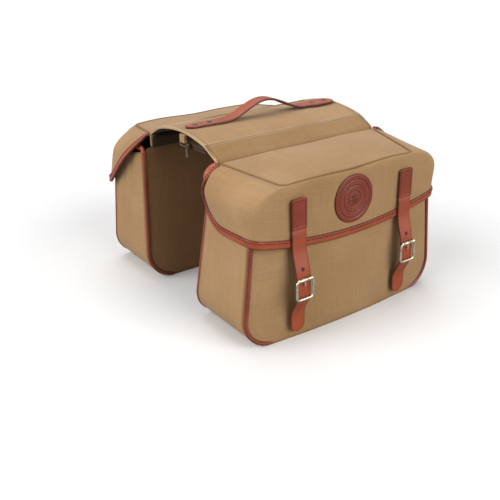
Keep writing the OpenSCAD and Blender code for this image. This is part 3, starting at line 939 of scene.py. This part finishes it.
def band_rows(side):
    """Front and sides of the flap, as a grid from the lid's seam to the lower edge."""
    rows = []
    for edge, seam, shoulder in flap_stations(side):
        row = flap_profile(edge, seam, shoulder)
        sideways = smooth_step((abs(edge.x) - 140 * MM) / (30 * MM))
        slack = 0.45 * sideways if side == "left" and edge.x > 0 else 0.0
        first, last = row[0], row[-1]
        row = [p.lerp(first.lerp(last, k / (len(row) - 1)), slack) for k, p in enumerate(row)]
        for k, point in enumerate(row):
            t = k / (len(row) - 1)
            out = Vector((math.copysign(sideways, edge.x), -(1 - sideways), 0))
            puff = math.exp(-((point.z - SHOULDER_SIDE_Z) / (28 * MM)) ** 2) * (sideways - 2 * slack)
            swell = ripple(point, 1.6 * MM, 60 * MM, seed=7.0) + 1.0 * MM + 3.5 * MM * puff
            row[k] = point + out * (swell * math.sin(math.pi * min(1.0, 0.12 + 0.88 * t)))
        rows.append(row)
    return rows


def flap_rim(rows):
    """Line of the edge binding: down the left back edge, along the bottom and up the right back edge."""
    normals = grid_normals(rows)
    middle = Vector((0, -150 * MM, 200 * MM))
    points = rows[0][2:] + [row[-1] for row in rows[1:-1]] + rows[-1][:1:-1]
    outs = normals[0][2:] + [line[-1] for line in normals[1:-1]] + normals[-1][:1:-1]
    outs = [o if o.dot(p - middle) > 0 else -o for p, o in zip(points, outs)]
    spots = resample(points, 4 * MM)
    return pick(points, spots), [o.normalized() for o in pick(outs, spots)]


def make_flap(side):
    rows = band_rows(side)
    band = panel(f"{side}_flap_band_cloth", [on_side(row, side) for row in rows], CANVAS_T,
                 turned(FLAP_INSIDE, side), [CANVAS, LINING], 5 * MM)
    attach(band, f"{side}_flap", [f"{side}_flap_band"])
    make_lid(side)
    make_lid_seam(side, rows)
    make_binding(side, rows)


def make_lid(side):
    """Top of the flap. Behind its back seam the cloth goes down to the bag, across the hinge."""
    count = 61
    rows = []
    for back, up in LID_TUCK:
        y, z = LID_BACK_Y + back * MM, LID_BACK_Z + up * MM
        rows.append([Vector(((-1 + k / 30) * (LID_BACK_X - 3 * MM), y, z)) for k in range(count)])
    for i in range(25):
        rows.append([lid_point(-1 + k / 30, i / 24) for k in range(count)])
    lid = panel(f"{side}_lid_cloth", [on_side(row, side) for row in rows], CANVAS_T,
                turned(FLAP_INSIDE, side), [CANVAS, LINING], 4 * MM)
    cross_joint(lid, [f"{side}_lid_panel"])


def make_lid_seam(side, rows):
    """Thin raised seam where the lid meets the band. It is marked as all rim, so the canvas's dark seam
    tone covers it: a painted shadow line along the seam.
    """
    seam = [row[0] + Vector((0, 0, 0.4 * MM)) for row in rows]
    seam = even(seam, 4 * MM)
    cord = sweep(f"{side}_lid_seam", on_side(seam, side), [Vector((0, 0, 1))] * len(seam),
                 round_section(1.1 * MM, 8), [CANVAS], [1.0] * 8)
    attach(cord, f"{side}_flap")


def make_binding(side, rows):
    """Leather folded over the flap's edge and its row of stitches, near the upper side."""
    points, outs = flap_rim(rows)
    section, rims = strap_section(BINDING_W, 4.4 * MM, 1.4 * MM)
    path, face = on_side(points, side), on_side(outs, side)
    binding = sweep(f"{side}_binding_leather", path, face, section, [LEATHER], rims)
    attach(binding, f"{side}_flap", [f"{side}_flap_binding"])
    flap_middle = turned((0, -160 * MM, 230 * MM), side)
    raised = []
    for i, (p, o) in enumerate(zip(path, face)):
        tangent = path[min(i + 1, len(path) - 1)] - path[max(i - 1, 0)]
        across = tangent.cross(o).normalized()
        across = across if across.dot(flap_middle - p) > 0 else -across
        raised.append(p + o * 2.3 * MM + across * 2.6 * MM)
    stitches = stitch_row(f"{side}_binding_stitches", raised, face, DARK_THREAD,
                          pitch=4.6 * MM, length=2.4 * MM, thick=0.9 * MM)
    attach(stitches, f"{side}_flap")


# ---------------------------------------------------------------- straps and buckles

def strap_place(side, which):
    """A strap's place along the bag before the bag is turned to its side, so that fore stays fore."""
    along = STRAP_X if which == "fore" else -STRAP_X
    return -along if side == "left" else along


def strap_back(z):
    """Back face of a strap at a height: it stands off at the buckle and returns to the bag."""
    away = STRAP_OUT * smooth_step((152 * MM - z) / (50 * MM))
    home = (STRAP_OUT + STRAP_IN) * smooth_step((76 * MM - z) / (34 * MM))
    return STRAP_FACE - away + home


def make_strap(side, which):
    name = f"{side}_{which}"
    x = strap_place(side, which)
    section, rims = strap_section(STRAP_W, STRAP_T)
    path, width = [], []
    for i in range(91):
        z = lerp(TAB_TOP - 8 * MM, STRAP_TIP, i / 90)
        if z > STRAP_TOP + 1 * MM:
            y = FLAP_FRONT - STRAP_T / 2 - 0.2 * MM
        else:
            below_tab = smooth_step((STRAP_TOP + 1 * MM - z) / (8 * MM))
            y = lerp(FLAP_FRONT - 0.2 * MM, strap_back(z), below_tab) - STRAP_T / 2
        path.append(Vector((x, y, z)))
        width.append(end_width(z - STRAP_TIP, STRAP_W * 0.5))
    strap = sweep(f"{name}_strap_leather", on_side(path, side), facing_front(path, side), section,
                  [LEATHER], rims, width)
    cross_joint(strap, [f"{name}_strap"])
    make_strap_tab(side, name, x)
    make_strap_hole(side, name, x)


def make_strap_tab(side, name, x):
    """Sewn tab over the strap's upper end, with dark stitches round it and pale ones across its foot."""
    tab_y = FLAP_FRONT - STRAP_T - 1.6 * MM
    tab_w = STRAP_W + 1.6 * MM
    rounding = 3.5 * MM
    path, width = [], []
    for i in range(41):
        z = lerp(TAB_TOP + 1 * MM, STRAP_TOP + 1 * MM, i / 40)
        path.append(Vector((x, tab_y + STRAP_T / 2, z)))
        down = min(1.0, (TAB_TOP + 1 * MM - z) / rounding)
        width.append(1 - (1 - math.sqrt(1 - (1 - down) ** 2)) * rounding * 2 / STRAP_W)
    section, rims = strap_section(tab_w, STRAP_T)
    # The darker badge leather paints the tab's shade: the tab is the same leather as the strap.
    tab = sweep(f"{name}_strap_tab", on_side(path, side), facing_front(path, side), section, [BADGE_AND_TAB_SHADE],
                rims, width)
    attach(tab, f"{side}_flap", [f"{side}_strap_tabs"])
    inset = STRAP_W / 2 - 2.2 * MM
    top, foot = TAB_TOP - 3 * MM, STRAP_TOP + 3.5 * MM
    corners = [Vector((x - inset, tab_y, foot)), Vector((x - inset, tab_y, top)),
               Vector((x + inset, tab_y, top)), Vector((x + inset, tab_y, foot))]
    for label, line, thread in (("round", corners, RED_THREAD), ("across", corners[::3], TAN_THREAD)):
        line = even(line, 1.5 * MM)
        stitches = stitch_row(f"{name}_tab_stitches_{label}", on_side(line, side),
                              facing_front(line, side), thread,
                              pitch=3.3 * MM, length=2.2 * MM, thick=0.5 * MM)
        attach(stitches, f"{side}_flap")


def make_strap_hole(side, name, x):
    """Spare hole above the buckle: a dark disc with a raised lip. The disc is painted shade that stands for
    the depth of the punched hole; the lip is its dark cut edge.
    """
    hole_r = 2.5 * MM
    count = 24
    points, rims = [], []
    for r, rise in ((hole_r * 1.25, 0.02), (hole_r, 0.16), (hole_r * 0.8, 0.06), (0.01 * MM, 0.04)):
        for k in range(count):
            a = TAU * k / count
            z = SPARE_HOLE_Z + r * math.sin(a)
            points.append(turned((x + r * math.cos(a), strap_back(z) - STRAP_T - rise * MM, z), side))
            rims.append(0.4 if r > hole_r else 1.0)
    hole = finish_mesh(f"{name}_strap_hole", points, ring_faces(3, count), [HOLE_EDGE_AND_SHADE], rims=rims)
    attach(hole, f"{name}_strap")


def make_buckle(side, which):
    """Cast frame with rounded corners, and a roller on its top bar to each side of the tongue."""
    name = f"{side}_{which}"
    x = strap_place(side, which)
    box_low, box_high = low("right_fore_buckle"), high("right_fore_buckle")
    y = (box_low.y + box_high.y) / 2
    radius = 2.1 * MM
    bend = 5 * MM
    top, foot = box_high.z - 2.6 * MM, box_low.z + radius
    turn_x = (box_high.x - box_low.x) / 2 - radius - bend
    ring = []
    for centre_x, centre_z, start in ((turn_x, top - bend, 90), (turn_x, foot + bend, 0),
                                      (-turn_x, foot + bend, -90), (-turn_x, top - bend, -180)):
        for k in range(9):
            a = math.radians(start - 11.25 * k)
            ring.append(Vector((x + centre_x + bend * math.cos(a), y, centre_z + bend * math.sin(a))))
    ring = [Vector((x, y, top))] + ring + [Vector((x, y, top))]
    ring = even(ring, 1.5 * MM)
    cast = sweep(f"{name}_buckle_frame", on_side(ring, side), facing_front(ring, side),
                 round_section(radius, 14, 0.82), [NICKEL])
    attach(cast, f"{name}_strap", [f"{name}_buckle"])
    for end, label in ((-1, "a"), (1, "b")):
        ends = [Vector((x + end * reach, y, top)) for reach in (2.7 * MM, 12.4 * MM)]
        make_roller(side, name, label, ends)


def make_roller(side, name, label, ends):
    """Turned roller on a buckle's bar, a little thicker at both its ends."""
    count, steps = 16, 16
    points = []
    for i in range(steps + 1):
        t = i / steps
        collar = 1.16 if abs(2 * t - 1) > 0.72 else 1.0
        for k in range(count):
            a = TAU * k / count
            spoke = Vector((0, math.cos(a), math.sin(a))) * (2.7 * MM * collar)
            points.append(turned(ends[0].lerp(ends[1], t), side) + spoke)
    faces = ring_faces(steps, count)
    faces.append(list(range(count)))
    faces.append([steps * count + k for k in range(count)])
    roller = finish_mesh(f"{name}_buckle_roller_{label}", points, faces, [NICKEL])
    attach(roller, f"{name}_strap")


def badge_relief(share, angle):
    """Height of the badge's pressed face at a share of its radius: rings, rays and a rosette."""
    height = sum(tall * math.exp(-((share - place) / wide) ** 2) for place, wide, tall in PRESSED_RINGS)
    for first, last, rays, power, tall in ((0.59, 0.77, 36, 3, 0.45), (0.33, 0.48, 24, 2, 0.35)):
        if first < share < last:
            crest = (0.5 + 0.5 * math.cos(rays * angle)) ** power
            height += tall * crest * math.sin(math.pi * (share - first) / (last - first))
    petal = 0.17 + 0.08 * math.cos(6 * angle)
    height += 0.6 * smooth_step((petal - share) / 0.04)
    height -= 1.1 * smooth_step((share - 0.95) / 0.05) ** 2
    return height * MM


def make_medallion(side):
    """Round leather badge, pressed in relief and sewn on round its rim."""
    rings, spokes = 44, 144
    thick = 3.0 * MM
    points, rims, uvs = [], [], []

    def place(r, angle, y):
        return Vector((r * math.cos(angle), y, MEDALLION.z + r * math.sin(angle)))

    for i in range(rings + 1):
        r = MEDALLION_R * (i / rings)
        for k in range(spokes):
            angle = TAU * k / spokes
            height = badge_relief(r / MEDALLION_R, angle)
            points.append(place(r, angle, FLAP_FRONT - thick + 0.6 * MM - height))
            dark_middle = 0.55 * smooth_step((0.26 - r / MEDALLION_R) / 0.1)
            rims.append(min(1.0, max(0.0, -height / MM) * 1.3 + dark_middle))
            uvs.append((r * math.cos(angle), r * math.sin(angle)))
    for k in range(spokes):
        points.append(place(MEDALLION_R, TAU * k / spokes, FLAP_FRONT + 0.3 * MM))
        rims.append(1.0)
        uvs.append((0.0, 0.0))
    badge = finish_mesh(f"{side}_medallion_leather", on_side(points, side), ring_faces(rings + 1, spokes),
                        [BADGE_AND_TAB_SHADE], uvs, rims)
    attach(badge, f"{side}_flap", [f"{side}_medallion"])
    circle = [place(0.91 * MEDALLION_R, TAU * k / 96, FLAP_FRONT - thick + 0.5 * MM) for k in range(97)]
    ring = stitch_row(f"{side}_medallion_stitches", on_side(circle, side), facing_front(circle, side),
                      RED_THREAD, pitch=3.6 * MM, length=2.4 * MM, thick=0.4 * MM)
    attach(ring, f"{side}_flap")


# ---------------------------------------------------------------- bridge and handle

def bridge_top(y):
    away = abs(y)
    if away <= SEAM_Y:
        return BRIDGE_TOP - (BRIDGE_TOP - SEAM_Z) * (away / SEAM_Y) ** 2
    return lerp(SEAM_Z, SHOULDER_Z, (away - SEAM_Y) / (BRIDGE_Y - SEAM_Y))


def bridge_ripple(point):
    return ripple(point, 1.6 * MM, 80 * MM, seed=2.0) - 0.6 * MM


def make_bridge():
    span = BRIDGE_X - 1 * MM
    rows = []
    for i in range(41):
        x = lerp(-span, span, i / 40)
        row = []
        for k in range(49):
            y = lerp(-SEAM_Y - 2 * MM, SEAM_Y + 2 * MM, k / 48)
            point = Vector((x, y, bridge_top(y)))
            point.z += bridge_ripple(point)
            row.append(point)
        rows.append(row)
    top = panel("bridge_top_cloth", rows, CANVAS_T, (0, 0, 0), [CANVAS, LINING], 4 * MM)
    attach(top, "bridge", ["bridge_canvas"])
    for side in SIDES:
        make_skirt(side, span)
        make_bridge_leg(side, span)
        make_bridge_seams(side, span)
    for end, label in ((-1, "rear"), (1, "fore")):
        make_edge_tape(end, label)


def make_skirt(side, span):
    """Cloth that falls from the bridge's seam to the bag's back, where it is sewn in below the lid."""
    line = [Vector((0, -BRIDGE_Y - out * MM, SHOULDER_Z + up * MM)) for out, up in SKIRT_FALL]
    line = even(line, 3 * MM)
    rows = []
    for i in range(41):
        x = lerp(-span, span, i / 40)
        row = []
        for p in line:
            point = Vector((x, p.y, p.z))
            free = smooth_step((p.z - SHOULDER_Z + 2 * MM) / (10 * MM))
            point.z += ripple(point, 1.6 * MM, 70 * MM, seed=4.0) * free
            row.append(turned(point, side))
        rows.append(row)
    skirt = panel(f"{side}_bridge_skirt", rows, CANVAS_T, (0, 0, 0), [SHADED_SKIRT_CANVAS, LINING], 4 * MM)
    cross_joint(skirt)


def make_bridge_leg(side, span):
    """Short flange of the bridge that stands between the rack and the bag's back."""
    leg = []
    for i in range(31):
        x = lerp(-span, span, i / 30)
        row = []
        for t in (0, 0.33, 0.66, 1.0):
            y = -BRIDGE_Y + lerp(3.5, 1.5, t) * MM + 1.2 * MM * math.sin(3.1 * x / span + 2 * t)
            row.append(turned((x, y, lerp(SHOULDER_Z - 3 * MM, LEG_Z, t)), side))
        leg.append(row)
    inside = (0, 0, SHOULDER_Z - 12 * MM)
    flange = panel(f"{side}_bridge_leg", leg, CANVAS_T * 0.7, inside, [CANVAS, LINING], 3 * MM)
    attach(flange, "bridge")


def make_bridge_seams(side, span):
    """Two rows of stitches along the bridge's seam, one on each cloth."""
    for offset in (0, 5):
        y = -SEAM_Y + (2.5 - offset) * MM
        row = []
        for i in range(61):
            p = Vector((lerp(-span + 4 * MM, span - 4 * MM, i / 60), y, bridge_top(y) + 0.9 * MM))
            if abs(p.y) < SEAM_Y:
                p.z += bridge_ripple(p)
            row.append(p)
        seam = stitch_row(f"{side}_bridge_seam_{offset}", on_side(row, side), [Vector((0, 0, 1))] * 61,
                          PALE_THREAD, pitch=4.6 * MM, length=2.9 * MM, thick=0.65 * MM)
        attach(seam, "bridge")


def make_edge_tape(end, label):
    """Cream tape sewn over the bridge's cut end, from leg to leg."""
    x = end * (BRIDGE_X - 1.5 * MM)
    line = [Vector((x, -BRIDGE_Y - 0.8 * MM, LEG_Z + 2 * MM)),
            Vector((x, -BRIDGE_Y - 1.0 * MM, SHOULDER_Z - 6 * MM))]
    for k in range(61):
        y = lerp(-BRIDGE_Y, BRIDGE_Y, k / 60)
        line.append(Vector((x, y, bridge_top(y) - 1.1 * MM)))
    line += [Vector((x, BRIDGE_Y + 1.0 * MM, SHOULDER_Z - 6 * MM)),
             Vector((x, BRIDGE_Y + 0.8 * MM, LEG_Z + 2 * MM))]
    line = even(line, 4 * MM)
    outward = []
    for i, p in enumerate(line):
        tangent = line[min(i + 1, len(line) - 1)] - line[max(i - 1, 0)]
        out = tangent.cross(Vector((1, 0, 0))).normalized()
        outward.append(out if out.dot(p - Vector((p.x, 0, 200 * MM))) > 0 else -out)
    section = strap_section(3.6 * MM, 3.4 * MM, 1.1 * MM)[0]
    tape = sweep(f"edge_tape_{label}", line, outward, section, [EDGE_TAPE])
    attach(tape, "bridge", ["bridge_edge_tape"])
    inner = [p + Vector((-end * 1.2 * MM, 0, 0)) + o * 2.1 * MM for p, o in zip(line, outward)]
    stitches = stitch_row(f"tape_stitches_{label}", inner[6:-6], outward[6:-6], PALE_THREAD,
                          pitch=3.4 * MM, length=2.2 * MM, thick=0.35 * MM)
    attach(stitches, "bridge")


def handle_height(x):
    base = BRIDGE_TOP + HANDLE_T / 2 + 0.2 * MM
    if abs(x) >= HANDLE_FOOT:
        return base
    return base + (HANDLE_RISE + 3 * MM) * (0.5 + 0.5 * math.cos(math.pi * x / HANDLE_FOOT))


def make_handle():
    """One leather strap riveted at both ends, made in two halves that meet at the top of the arch."""
    section, rims = strap_section(HANDLE_W, HANDLE_T, 1.1 * MM)
    for end, label, node in ((-1, "rear", "handle_ends"), (1, "fore", "handle_grip")):
        path, width = [], []
        for i in range(81):
            away = lerp(0.0, HANDLE_END, i / 80)
            path.append(Vector((HANDLE_X + end * away, 0, handle_height(away))))
            waist = lerp(HANDLE_WAIST, 1.0, smooth_step(away / HANDLE_FOOT))
            pad = lerp(1.0, PAD_WIDTHS[label], smooth_step((away - HANDLE_FOOT - 4 * MM) / (24 * MM)))
            width.append(end_width(HANDLE_END - away, HANDLE_W * 0.6) * waist * pad)
        half = sweep(f"handle_{label}_half", path, [Vector((0, 0, 1))] * len(path), section, [LEATHER],
                     rims, width)
        cross_joint(half, [node])


# ---------------------------------------------------------------- carried-over nodes

def dress_nodes():
    """Gives each CAD node that stays its finish: its slot's, or its own where that differs."""
    by_slot = {"nickel": NICKEL, "leather": LEATHER, "board": BOARD, "webbing": WEBBING,
               "edge_tape": EDGE_TAPE, "canvas": CANVAS}
    own = {"handle_rivets": RIVET, "end_ring": RIVET, "zip_slider": RIVET, "zip_pull": RIVET,
           "zip_tape": LINING, "end_tab": CANVAS}
    slots = {entry["node"]: entry["material_slot"] for entry in frame["record"]["subparts"]}
    for name, obj in frame["nodes"].items():
        obj.data.materials.clear()
        obj.data.materials.append(own.get(name, by_slot[slots[name]]))


# ---------------------------------------------------------------- stage, light and camera

def make_stage():
    bpy.ops.mesh.primitive_plane_add(size=12)
    floor = bpy.context.object
    floor.name = "floor"
    material, tree, shader = start_material("pale_floor", 0.9, 0.1)
    speckle = range_node(tree, noise_node(tree, None, 6.0, detail=2.0), 0.3, 0.7)
    pale = blend_colour(tree, speckle, (0.93, 0.93, 0.93), (0.96, 0.96, 0.96))
    path = tree.nodes.new("ShaderNodeLightPath")
    wire(tree, blend_colour(tree, path.outputs["Is Camera Ray"], (0.40, 0.40, 0.40), pale),
         shader.inputs["Base Color"])
    floor.data.materials.append(material)

    world = bpy.context.scene.world or bpy.data.worlds.new("studio")
    bpy.context.scene.world = world
    world.use_nodes = True
    sky = world.node_tree
    # The camera sees a white room. Other rays find it dim, so the space between the bags stays dark.
    seen = sky.nodes.new("ShaderNodeLightPath")
    backdrop = sky.nodes["Background"]
    backdrop.inputs["Color"].default_value = (1.0, 1.0, 1.0, 1.0)
    shine = range_node(sky, seen.outputs["Is Glossy Ray"], 0.0, 1.0, 0.20, 0.60)
    glow = range_node(sky, seen.outputs["Is Camera Ray"], 0.0, 1.0, 0.0, 0.85)
    wire(sky, math_node(sky, "ADD", shine, glow), backdrop.inputs["Strength"])

    for name, source, softness, strength in (
        ("overhead_light", (0.15, 0.35, 1.0), 50, 1.05),
        ("end_light", (-2.0, 0.35, 1.1), 60, 2.5),
        ("front_light", (0.55, -1.6, 0.8), 50, 2.1),
    ):
        lamp = bpy.data.lights.new(name, "SUN")
        lamp.angle = math.radians(softness)
        lamp.energy = strength
        light = bpy.data.objects.new(name, lamp)
        light.location = source
        light.rotation_euler = Vector(source).to_track_quat("Z", "Y").to_euler()
        bpy.context.scene.collection.objects.link(light)
    bpy.context.scene.view_settings.view_transform = "Standard"


def make_camera():
    lens = bpy.data.cameras.new("view")
    lens.sensor_width = 36.0
    lens.angle = math.radians(40.166)
    lens.clip_start = 0.01
    camera = bpy.data.objects.new("view", lens)
    camera.location = (-0.6416, -0.8991, 0.5384)
    camera.rotation_euler = [math.radians(a) for a in (65.478, 1.575, -34.984)]
    bpy.context.scene.collection.objects.link(camera)
    bpy.context.scene.camera = camera


make_camera()
make_stage()
dress_nodes()
for bag_side in SIDES:
    make_bag_body(bag_side)
    make_flap(bag_side)
    make_medallion(bag_side)
    for place in ("rear", "fore"):
        make_strap(bag_side, place)
        make_buckle(bag_side, place)
make_bridge()
make_handle()
